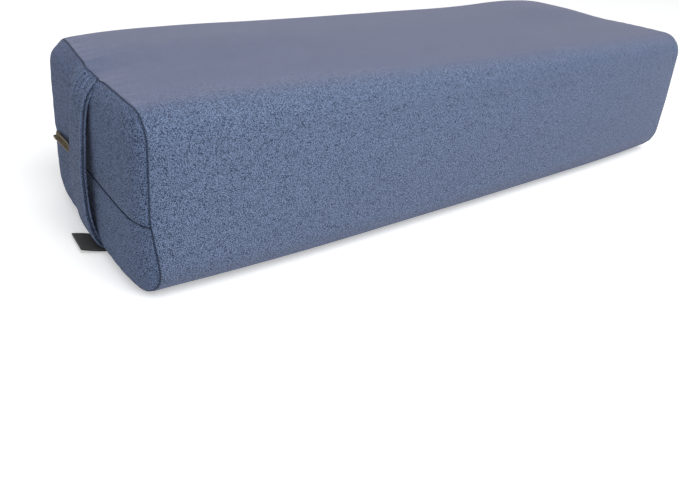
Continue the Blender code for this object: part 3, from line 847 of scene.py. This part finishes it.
def makePanel(name, side, part, node):
    # the panel's form with puckers and slow waves added along the normals, with painted shade along its seam
    # and zip
    grid, away = panelGrid(side, part)
    if side < 0:
        grid, away = grid[:, ::-1], away[:, ::-1]
    y, z = grid[..., 1], grid[..., 2]
    fromZip = np.abs(z - panel["zipHeight"])
    clear = ease((fromZip - panel["clearFrom"]) / panel["clearReach"]) if part != "whole" else 1.0
    wave = panel["waveDepth"] * wavesOver(y * 2.2, z * 2.0) * ease(away / panel["waveReach"])
    lift = (puckers(panel["turnRadius"] * np.arctan2(z - panel["turnHeight"], y), away) + wave) * clear
    grid = grid + gridNormals(grid) * lift[..., None]
    # painted shade: a thin dark line along the seam's groove, and along the zip where the lips' gap is in
    # shade
    shade = hump(away, cushion["seamLine"])
    if part != "whole":
        zipLine = hump(grid[..., 2] - panel["zipHeight"], panel["zipShade"])
        shade = np.maximum(shade, panel["zipDark"] * zipLine)
    mesh = gridMesh(name, grid, False, shade)
    addPiece(mesh, shadedEndSuede, "bolster", [node], panel["cloth"])


sleeve = makeSleeve()
makePanel("nearPanelUpper", -1, "upper", "near_panel_upper")
makePanel("nearPanelLower", -1, "lower", "near_panel_lower")
makePanel("farPanel", 1, "whole", "far_panel")
print("cover made")


# Seams: lines of small stitches laid in the grooves

stitch = {
    "pitch": 0.0031, "length": 0.0024, "radius": 0.00021, "lift": 0.00010, "dip": 3.2, "flat": 0.9,
    "tip": 0.35, "proud": 0.00015, "rings": 7, "sides": 6,
}


def readLine(at, run, line):
    # the line's points, or what goes with them, at the given places of its run
    return np.stack([np.interp(at, run, column) for column in line.T], axis=-1)


def alongLine(line, step, closed):
    # even places along a line of points, with the direction and the share of its length at each
    if closed:
        line = np.concatenate([line, line[:1]])
    run = runAlong(line)
    count = int(run[-1] / step)
    at = (np.arange(count) + 0.5) * run[-1] / count
    spot = readLine(at, run, line)
    return spot, unit(readLine(at + step / 4, run, line) - spot), at / run[-1]


def makeStitches(name, line, outward, finish, nodes, closed=True, size=1.0):
    # each stitch is a short tube, thickest in the middle, whose ends dip into the cloth
    spot, way, share = alongLine(line, stitch["pitch"] * size, closed)
    if closed:
        outward = np.concatenate([outward, outward[:1]])
    out = readLine(share, np.linspace(0, 1, len(outward)), outward)
    out = unit(out - way * (out * way).sum(axis=1, keepdims=True))
    side = np.cross(way, out)
    t = np.linspace(-1, 1, stitch["rings"])
    length = t * (stitch["length"] * size / 2)
    rise = stitch["lift"] * size * (1 - stitch["dip"] * t ** 4)
    centres = spot[:, None] + way[:, None] * length[None, :, None] + out[:, None] * rise[None, :, None]
    radius = stitch["radius"] * size * (stitch["tip"] + (1 - stitch["tip"]) * np.sqrt(1 - t ** 2))
    radius = np.repeat(radius[None], len(spot), axis=0)
    count = (1, len(t), 1)
    mesh = tubesMesh(name, centres, np.tile(side[:, None], count), np.tile(out[:, None], count),
                     radius, radius * stitch["flat"], stitch["sides"])
    addPiece(mesh, finish, "bolster", nodes)


def endSeamLine(side):
    # the groove where the sleeve and the end meet, with the way out of it
    u = np.array([float(side)])
    ring = ringAt(u, np.array([cushion["rollDepth"]]))[0]
    line = placed(ring[:, 0], ring[:, 1], u)
    around = unit(np.roll(line, -1, axis=0) - np.roll(line, 1, axis=0))
    out = np.cross(around, [[1.0, 0.0, 0.0]]) * 0.75 + np.array([[side * 0.65, 0.0, 0.0]])
    return line + out * stitch["proud"], out


for side, word in ((-1, "near"), (1, "far")):
    line, out = endSeamLine(side)
    makeStitches(f"{word}SeamStitches", line, out, threadDark, [f"{word}_seam_thread"])
closingLine = (sleeve[:, 0] + sleeve[:, -1]) / 2
closingOut = np.tile([[0.0, 0.7071, -0.7071]], (len(closingLine), 1))
makeStitches("closingSeamStitches", closingLine, closingOut, threadDark,
             ["sleeve_seam_thread"], closed=False)
print("seams stitched")


# Carrying straps: two layers each, sewn into the top and base seams, bowed out between

strap = {
    "middle": -0.0045, "half": 0.0140,
    "outerFace": (
        (0.1462, -0.3220), (0.1455, -0.3238), (0.1440, -0.3257), (0.1414, -0.3278), (0.1366, -0.3303),
        (0.1310, -0.3322), (0.1253, -0.3337), (0.1209, -0.3344), (0.1119, -0.3355), (0.0980, -0.3365),
        (0.0890, -0.3371), (0.0748, -0.3379), (0.0572, -0.3378), (0.0392, -0.3368), (0.0260, -0.3347),
        (0.0180, -0.3327), (0.0108, -0.3298), (0.0072, -0.3268), (0.0052, -0.3236)),
    "face": 0.0016, "lining": 0.0015, "liningNarrow": 0.0003, "between": 0.0002,
    "core": 0.0011, "coreInset": 0.0010, "coreEdge": 0.0012, "crown": 0.0003,
    "samples": 120, "acrossCount": 91, "roundCount": 9, "smoothing": 20,
    "endShare": 0.55, "endReach": 0.009, "topSpread": 0.0012, "spreadReach": 0.008,
    "twist": 0.0024, "twistReach": 0.017, "sewn": 0.004, "uneven": 0.00018,
    "ridges": ((-0.0130, 0.0032, 0.0020), (-0.0090, 0.0062, 0.0023), (-0.0040, 0.0088, 0.0021)),
    "ridgeReach": 0.024, "ridgeHalf": 0.0011, "driftReach": 0.012, "foldHalf": 0.0007, "foldShade": 0.9,
    "edgeHighlight": 0.6, "crestInset": 0.0010, "crestHalf": 0.0007,
    "seamShade": 0.0011, "grooveShade": 0.55, "grooveReach": 0.0016,
    "farDrop": 0.0045, "farReach": 0.014, "bendStart": -0.3245, "bendEnd": -0.3325,
}


def strapPath():
    # even places along the outer face, smoothed, with the way out of it at each
    table = np.array(strap["outerFace"])[:, ::-1]
    run = runAlong(table)
    at = np.linspace(0, run[-1], strap["samples"])
    line = readLine(at, run, table)
    for _ in range(strap["smoothing"]):
        line[1:-1] = (line[:-2] + 2 * line[1:-1] + line[2:]) / 4
    way = unit(np.gradient(line, axis=0))
    return line, np.column_stack([way[:, 1], -way[:, 0]]), at, run[-1]


def strapSection():
    # once round a flat band: places across as shares, closer at the edges, and the rounded edges' angle
    count = strap["acrossCount"]
    across = np.sin(np.radians(np.linspace(90, -90, count)))
    turn = np.linspace(90, 270, strap["roundCount"])[1:-1]
    share = np.concatenate([across, np.full(len(turn), -1.0), -across, np.full(len(turn), 1.0)])
    angle = np.radians(np.concatenate([np.full(count, 90.0), turn, np.full(count, 270.0), turn + 180]))
    return share[None], angle[None]


def strapLayer(name, side, depth, half, narrow, core, nodes):
    # a band along the strap's path, so deep under its outer face, thinner where the seams press it
    line, normal, at, total = strapPath()
    share, angle = strapSection()
    at = at[:, None]
    full = strap["endShare"] + (1 - strap["endShare"]) * ease(np.minimum(at, total - at) / strap["endReach"])
    thick = half * full
    wide = strap["half"] - narrow + strap["topSpread"] * np.exp(-at / strap["spreadReach"]) - thick
    across = wide * share + thick * np.cos(angle)
    y = strap["middle"] + across
    rise = thick * np.sin(angle) - depth * full
    onFace, onBack = np.clip(np.sin(angle), 0, 1), np.clip(-np.sin(angle), 0, 1)
    fromEdge = wide + thick - np.abs(across)
    sewn = ease(at / strap["sewn"])
    # the turned-in cloth thickens the middle of the band's back, which leaves a groove along each edge
    rise = rise - core * full * onBack * ease((fromEdge - strap["coreInset"]) / strap["coreEdge"])
    rise = rise + strap["crown"] * (1 - share ** 2) * onFace * full
    # painted highlight along the face's rolled edges, where they catch the light
    foldHighlightAndShade = -strap["edgeHighlight"] * hump(fromEdge - strap["crestInset"], strap["crestHalf"]) * onFace
    # slanting ridges below the top seam, each with a painted highlight on its crest and painted shade at its
    # foot
    for start, drift, height in strap["ridges"]:
        fromRidge = y - start - drift * (1 - np.exp(-at / strap["driftReach"]))
        fading = np.exp(-at / strap["ridgeReach"]) * sewn
        rise = rise + height * fading * hump(fromRidge, strap["ridgeHalf"]) * onFace
        foot = hump(fromRidge - 1.8 * strap["ridgeHalf"], strap["foldHalf"])
        foldHighlightAndShade = foldHighlightAndShade + fading * onFace * (foot - hump(fromRidge, strap["foldHalf"]))
    rise = rise + strap["uneven"] * np.sin(at * 190 + 2.0) * np.sin(y * 160 + 0.7) * onFace
    rise = rise + strap["twist"] * hump(at, strap["twistReach"]) * sewn * across / strap["half"]
    x = line[:, :1] + rise * normal[:, :1]
    z = line[:, 1:] + rise * normal[:, 1:]
    if side > 0:
        z = z - strap["farDrop"] * hump(at, strap["farReach"])
    grid = np.stack([-side * x, y, z], axis=-1)
    if side > 0:
        grid = grid[:, ::-1]
    # painted shade: dark at the top seam and in the grooves along the back's edges, with the folds' painted
    # highlight and shade
    groove = strap["grooveShade"] * onBack * hump(fromEdge, strap["grooveReach"])
    shade = hump(at, strap["seamShade"]) + groove + strap["foldShade"] * foldHighlightAndShade
    mesh = gridMesh(name, grid, True, np.clip(shade, -1, 1))
    closeEnds(mesh, *grid.shape[:2])
    piece = addPiece(mesh, shadedStrapSuede, None, nodes)
    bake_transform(piece)


for side, word in ((-1, "near"), (1, "far")):
    half = strap["face"] / 2
    strapLayer(f"{word}StrapFace", side, half, half, 0.0, strap["core"], [f"{word}_handle_face"])
    half = strap["lining"] / 2
    depth = strap["face"] + strap["core"] + strap["between"] + half
    strapLayer(f"{word}StrapLining", side, depth, half, strap["liningNarrow"], 0.0, [f"{word}_handle_lining"])
print("straps made")


# Tag: one strip of black satin folded at its free end, sewn in under the strap's lower end

tag = {
    "width": 0.0275, "length": 0.0166, "sewnIn": 0.0006, "ply": 0.0004, "fold": 0.00055,
    "root": (-0.32277, -0.0045, 0.0030), "skew": 0.0085, "lean": 0.0004, "sink": 0.0002, "lowest": 0.0008,
    "rearArch": 0.0009, "freeLift": (0.0017, 0.0012), "openFold": 0.35,
    "alongCount": 22, "foldCount": 11, "acrossCount": 19,
}


def makeTag():
    # two plies joined by a half circle, the free end risen by a square and the rear side arched by a parabola
    length, fold, count = tag["length"], tag["fold"], tag["alongCount"]
    run = np.linspace(-tag["sewnIn"], length - fold, count)
    turn = np.radians(np.linspace(90, -90, tag["foldCount"]))[1:-1]
    a = np.concatenate([run, run[-1] + fold * np.cos(turn), run[::-1]])
    t = np.concatenate([np.full(count, fold), fold * np.sin(turn), np.full(count, -fold)])
    p = np.linspace(-1, 1, tag["acrossCount"])[:, None]
    share = np.clip(a / length, 0, 1)[None]
    frontLift, rearLift = tag["freeLift"]
    rise = share ** 2 * (frontLift * (1 - p) + rearLift * (1 + p)) / 2 - tag["sink"]
    rise = rise + tag["rearArch"] * 4 * share * (1 - share) * (1 + p) / 2
    swell = 1 + tag["openFold"] * (1 - p ** 2) * share ** 2
    x = tag["root"][0] - a[None] + tag["lean"] * p * share
    y = tag["root"][1] + p * tag["width"] / 2 + tag["skew"] * a[None] / length
    z = np.maximum(tag["root"][2] + t[None] * swell + rise, tag["lowest"])
    mesh = gridMesh("sideTag", np.stack([x, y, z], axis=-1)[::-1])
    piece = addPiece(mesh, tagWeave, "tag", ["side_tag"])
    solid = piece.modifiers.new("clothWall", "SOLIDIFY")
    solid.thickness, solid.offset = tag["ply"], 0.0


makeTag()
print("tag made")


# Zip: woven tapes behind the lips, wound coils, and metal slider, pull and stops

zipper = {
    "height": 0.0655, "tapeLevel": 0.0057, "tapeThick": 0.0005, "tapeLow": 0.0007, "tapeHigh": 0.0130,
    "tapeHalf": 0.0964, "tapeCounts": (97, 12), "ribDepth": 0.00006, "ribPitch": 0.0021,
    "coilLevel": 0.0037, "coilHalf": 0.083, "coilPitch": 0.00125, "wire": 0.00021,
    "loopMiddle": 0.00095, "loopTall": 0.00125, "loopDeep": 0.00056, "turnSteps": 10, "wireSides": 5,
    "bevel": 0.00022, "bevelFrom": 35, "merge": 0.00001,
}
pull = {
    "pin": (-0.3301, 0.0760, 0.0655), "lean": 8.0, "turn": 2.5, "lift": 0.0011,
    "length": 0.044, "half": 0.00425, "thick": 0.0005, "acrossCount": 25, "alongCount": 26,
    "rootSteps": (0, 0.15, 0.4, 0.8), "rootEnd": 0.0014,
    "tipSteps": (2.6, 2.0, 1.4, 0.9, 0.5, 0.2, 0.05), "tipStart": 0.0032, "tipLeast": 0.0004,
    "rootReach": 0.0012, "rootDraw": 0.28, "edge": 0.00035,
    "rim": 0.0006, "recess": 0.00022, "recessReach": 0.0005,
    "loopLength": 0.0058, "loopHalf": 0.0034, "loopWire": 0.00055, "loopFlat": 0.95, "loopSquare": 0.30,
    "loopCount": 40, "loopSides": 10,
}


def makeTape(name, sign, node):
    # a band that follows the end's bulge at a lower level, with fine ribs along it
    alongCount, upCount = zipper["tapeCounts"]
    y = np.linspace(-zipper["tapeHalf"], zipper["tapeHalf"], alongCount)[None]
    up = sign * np.linspace(zipper["tapeLow"], zipper["tapeHigh"], upCount)[:, None]
    z = zipper["height"] + up
    share = y / (cushion["endHalf"] - panel["inset"])
    level = panelLevel(share, y, z) / panel["bulge"] * zipper["tapeLevel"]
    ribs = zipper["ribDepth"] * np.sin(up * 2 * math.pi / zipper["ribPitch"])
    grid = placed(y + 0 * z, z + 0 * y, -1.0 + 0 * level, level + ribs)
    if sign > 0:
        grid = grid[::-1]
    addPiece(gridMesh(name, grid), tapeWeave, "bolster", [node], wall=zipper["tapeThick"])


def makeCoil(name, sign, node):
    # one nylon filament wound into flat loops: a helix with its axis along the zip
    turns = int(2 * zipper["coilHalf"] / zipper["coilPitch"])
    t = np.linspace(0, 1, turns * zipper["turnSteps"] + 1)
    angle = 2 * math.pi * turns * t + (0 if sign > 0 else math.pi)
    y = (2 * t - 1) * (zipper["coilHalf"] - zipper["wire"])
    x, z = -(cushion["seamHalf"] + zipper["coilLevel"]), zipper["height"] + sign * zipper["loopMiddle"]
    radial = np.column_stack([np.cos(angle), 0 * t, sign * np.sin(angle)])
    line = np.column_stack([x + 0 * t, y, z + 0 * t]) + radial * [zipper["loopDeep"], 0, zipper["loopTall"]]
    way = unit(np.gradient(line, axis=0))
    side = unit(np.cross(way, radial))
    wire = np.full((1, len(t)), zipper["wire"])
    mesh = tubesMesh(name, line[None], side[None], np.cross(side, way)[None], wire, wire, zipper["wireSides"])
    addPiece(mesh, nylon, "bolster", [node])


def pullBlade():
    # a flat blade, round at its tip and narrower at its root, with a raised rim, and its recess's shade
    length, half, thick = pull["length"], pull["half"], pull["thick"]
    count, reach = pull["acrossCount"], pull["rootReach"]
    start = pull["loopLength"] - reach
    s = np.concatenate([start + np.array(pull["rootSteps"]) / 1000,
                        np.linspace(start + pull["rootEnd"], length - pull["tipStart"], pull["alongCount"]),
                        length - np.array(pull["tipSteps"]) / 1000])[:, None]
    tipIn = np.clip(s - (length - half), 0, half) / half
    rootIn = np.clip(start + reach - s, 0, reach) / reach
    wide = half * np.sqrt(np.clip(1 - tipIn ** 2, pull["tipLeast"], 1)) * (1 - pull["rootDraw"] * rootIn ** 2)
    across = np.linspace(1, -1, count)
    w = wide * np.concatenate([across, across[-2:0:-1]])[None]
    fromRim = np.minimum(np.minimum(wide - np.abs(w), length - s), s - start)
    edge = np.sqrt(np.clip(1 - (1 - np.clip(fromRim / pull["edge"], 0, 1)) ** 2, 0, 1))
    recess = pull["recess"] * ease((fromRim - pull["rim"]) / pull["recessReach"])
    up = np.concatenate([np.ones(count), -np.ones(count - 2)])[None]
    blade = np.stack([s + 0 * w, w, up * (thick * edge - recess)], axis=-1)
    return blade, ease((fromRim - pull["rim"]) / pull["rim"])


def pullLoop():
    # a wire bent to a rounded square: sign(cos) |cos|^p along and sign(sin) |sin|^p across
    turn = np.radians(np.linspace(0, 360, pull["loopCount"], endpoint=False))
    along, across = (np.sign(c) * np.abs(c) ** pull["loopSquare"] for c in (np.cos(turn), np.sin(turn)))
    loop = np.column_stack([pull["loopLength"] / 2 * (1 + along), pull["loopHalf"] * across, 0 * turn])
    up = np.tile([[0.0, 0.0, 1.0]], (len(loop), 1))
    side = np.cross(unit(np.roll(loop, -1, axis=0) - np.roll(loop, 1, axis=0)), up)
    wire = np.full((1, len(loop)), pull["loopWire"])
    return tubesMesh("ring", loop[None], side[None], up[None], wire, wire * pull["loopFlat"],
                     pull["loopSides"], True)


def makePull():
    # a loop of wire round the slider's bridge, running into a flat blade
    blade, shade = pullBlade()
    plate, ring = gridMesh("zipPull", blade, True, shade), pullLoop()
    closeEnds(plate, *blade.shape[:2])
    both = bmesh.new()
    both.from_mesh(plate)
    both.from_mesh(ring)
    both.to_mesh(plate)
    both.free()
    bpy.data.meshes.remove(ring)
    # the blade points along -Y with its width up: its free end leans up and stands out from the panel
    lean = Matrix.Rotation(-math.radians(pull["lean"]), 4, "X")
    turn = Matrix.Rotation(-math.radians(pull["turn"]), 4, "Z")
    flat = Matrix(((0, -1, 0), (0, 0, 1), (-1, 0, 0))).transposed().to_4x4()
    lift = Matrix.Translation((0, pull["lift"], 0))
    plate.transform(Matrix.Translation(pull["pin"]) @ turn @ lean @ flat @ lift)
    plate.polygons.foreach_set("use_smooth", np.ones(len(plate.polygons), bool))
    addPiece(plate, brass, "zip_pull", ["zip_pull"])


def dressMetal(name):
    # a metal piece that keeps its built shape: its edges are broken and it takes the brass finish
    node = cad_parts[name]
    node.data.materials.clear()
    node.data.materials.append(brass)
    merge = node.modifiers.new("merge", "WELD")
    merge.merge_threshold = zipper["merge"]
    bevel = node.modifiers.new("brokenEdges", "BEVEL")
    bevel.width, bevel.segments, bevel.angle_limit = zipper["bevel"], 2, math.radians(zipper["bevelFrom"])


makeTape("zipTapeUpper", 1, "zip_tape_upper")
makeTape("zipTapeLower", -1, "zip_tape_lower")
makeCoil("zipCoilUpper", 1, "zip_coil_upper")
makeCoil("zipCoilLower", -1, "zip_coil_lower")
makePull()
for name in ("zip_slider", "zip_top_stop_upper", "zip_top_stop_lower", "zip_bottom_stop"):
    dressMetal(name)
print("zip made")


# Inside: cotton liner, batting and three foam slabs

filling = {
    "liner": {"inset": 0.0015, "wall": 0.0007, "half": 0.3140, "lumps": 0.0},
    "batting": {"inset": 0.0026, "wall": 0.0092, "half": 0.3137, "lumps": 0.00005},
    "linerEnd": {"inset": 0.0026, "wall": 0.0007, "level": -0.0052, "bulge": 0.0045},
    "battingPad": {"inset": 0.0133, "wall": 0.0095, "level": -0.0063, "bulge": 0.0040},
    "core": {"inset": 0.0133, "half": 0.3034, "slabs": 3, "gap": 0.0003, "edge": 0.0012},
    "threadScale": 0.9, "threadOut": 0.0004, "endPowers": (14, 6, 0.9),
    "tubeCount": 49, "slabCount": 41, "topCount": 23, "arcCount": 9,
}


def innerTube(name, kind, finish, node):
    # the sleeve's form, smaller by the inset all round, with slow hollows
    look = filling[kind]
    u = np.linspace(-1, 1, filling["tubeCount"]) * look["half"] / cushion["seamHalf"]
    ring = ringAt(u, np.full(len(u), look["inset"]))[:, ::2]
    grid = placed(ring[..., 0], ring[..., 1], u[:, None])
    around = runLengths(grid, 1, True)[:-1][None]
    hollow = look["lumps"] * (1 + wavesOver(grid[..., 0] * 1.6, around * 1.4))
    grid = grid - gridNormals(grid, True) * hollow[..., None]
    addPiece(gridMesh(name, grid, True), finish, "bolster", [node], look["wall"])


def innerEnd(name, side, kind, finish, node):
    # the end's form, smaller by the inset all round, at its own level and with its own bulge
    look = filling[kind]
    inset, middle = look["inset"], cushion["endHeight"] / 2
    acrossPower, upPower, edgePower = filling["endPowers"]
    rows, columns = panelRows("whole")[::2], panelColumns()[::2][None]
    rows = inset + (rows - rows[0]) * (cushion["endHeight"] - 2 * inset) / (rows[-1] - rows[0])
    shareUp = np.clip(np.abs(rows - middle) / (middle - inset), 0, 1)[:, None]
    width = rowHalfWidth(np.clip(rows, panel["inset"], None)) - (inset - panel["inset"])
    y = width[:, None] * columns
    z = rows[:, None] + 0 * y
    puff = (1 - np.abs(columns) ** acrossPower) ** edgePower * (1 - shareUp ** upPower) ** edgePower
    grid = placed(y, z, np.full_like(z, side), look["level"] + look["bulge"] * puff)
    if side < 0:
        grid = grid[:, ::-1]
    addPiece(gridMesh(name, grid), finish, "bolster", [node], look["wall"])
    return grid


def makeSlab(number):
    # one layer of the sleeve's form inside the batting: the outer edges round, the inner ones sharp
    core = filling["core"]
    inset, last = core["inset"], number == core["slabs"] - 1
    u = (np.linspace(-1, 1, filling["slabCount"]) * core["half"] / cushion["seamHalf"])[:, None]
    stack = cushion["endHeight"] - 2 * inset
    wide = halfWidthAt(u) - inset
    low = inset + stack * number / core["slabs"] + 0 * wide
    high = inset + stack * (number + 1) / core["slabs"] - core["gap"] + 0 * wide
    roof = topAt(u) - inset if last else high
    lowRadius = cushion["baseRadius"] - inset if number == 0 else core["edge"]
    highRadius = cushion["topRadius"] - inset if last else core["edge"]
    t, count = np.linspace(1, -1, filling["topCount"])[1:-1][None], filling["arcCount"]
    crown = cushion["crown"] * (1 - u ** 6) * (1 - t ** 2) ** 1.5 if last else 0
    lowY, highY = wide - lowRadius, wide - highRadius
    over = np.stack([highY * t, roof + crown + 0 * t], axis=-1)
    under = np.stack([-lowY * t, low + 0 * t], axis=-1)
    lowZ, highZ = low + lowRadius, roof - highRadius
    ring = np.concatenate([arcPoints(lowY, lowZ, lowRadius, -90, 0, count, True),
                           arcPoints(highY, highZ, highRadius, 0, 90, count, True), over,
                           arcPoints(-highY, highZ, highRadius, 90, 180, count, True),
                           arcPoints(-lowY, lowZ, lowRadius, 180, 270, count, True), under], axis=1)
    grid = placed(ring[..., 0], ring[..., 1], u)
    mesh = gridMesh(f"foamSlab{number + 1}", grid, True)
    closeEnds(mesh, *grid.shape[:2])
    addPiece(mesh, foam, "bolster", [f"foam_slab_{number + 1}"])


innerTube("linerSleeve", "liner", cottonWeave, "liner_sleeve")
innerTube("battingWrap", "batting", wadding, "batting_wrap")
for side, word, endName in ((-1, "near", "Near"), (1, "far", "Far")):
    grid = innerEnd(f"liner{endName}End", side, "linerEnd", cottonWeave, f"liner_{word}_end")
    innerEnd(f"batting{endName}Pad", side, "battingPad", wadding, f"batting_{word}_pad")
    edge = np.concatenate([grid[1, 1:-1], grid[1:-1, -2], grid[-2, -2:0:-1], grid[-2:0:-1, 1]])
    line = edge + np.array([side * filling["threadOut"], 0, 0])
    outward = np.tile([[float(side), 0, 0]], (len(edge), 1))
    makeStitches(f"liner{endName}Stitches", line, outward, threadCotton, [f"liner_{word}_thread"],
                 size=filling["threadScale"])
for number in range(filling["core"]["slabs"]):
    makeSlab(number)
print("filling made")
